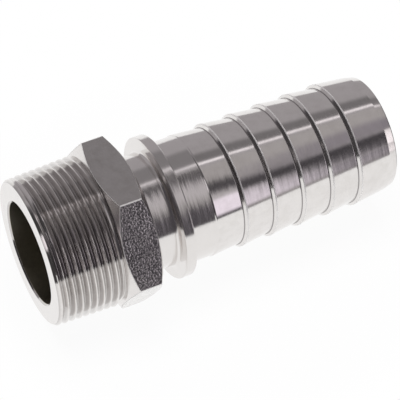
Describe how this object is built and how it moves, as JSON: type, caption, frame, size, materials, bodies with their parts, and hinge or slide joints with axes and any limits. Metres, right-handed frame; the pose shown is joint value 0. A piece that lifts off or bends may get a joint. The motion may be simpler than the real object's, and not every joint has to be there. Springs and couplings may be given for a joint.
{
  "type": "threaded hose tail",
  "caption": "Stainless steel male threaded hose tail: a taper pipe thread, a wrench hexagon, a clamp collar and a barbed tail that a hose is pushed over, with a bore right through.",
  "frame": {"origin": "on the axis, in the plane of the threaded end's face", "axes": "+X along the axis, from the threaded end to the hose end; +Z square to a flat of the hexagon, up as the part lies on the opposite flat"},
  "size_m": [0.1188, 0.0566, 0.049],
  "materials": {
    "stainless_steel": "fine-turned stainless steel, with blasted flats on the hexagon"
  },
  "bodies": {
    "root": {"hose_tail": "stainless_steel"}
  },
  "joints": []
}
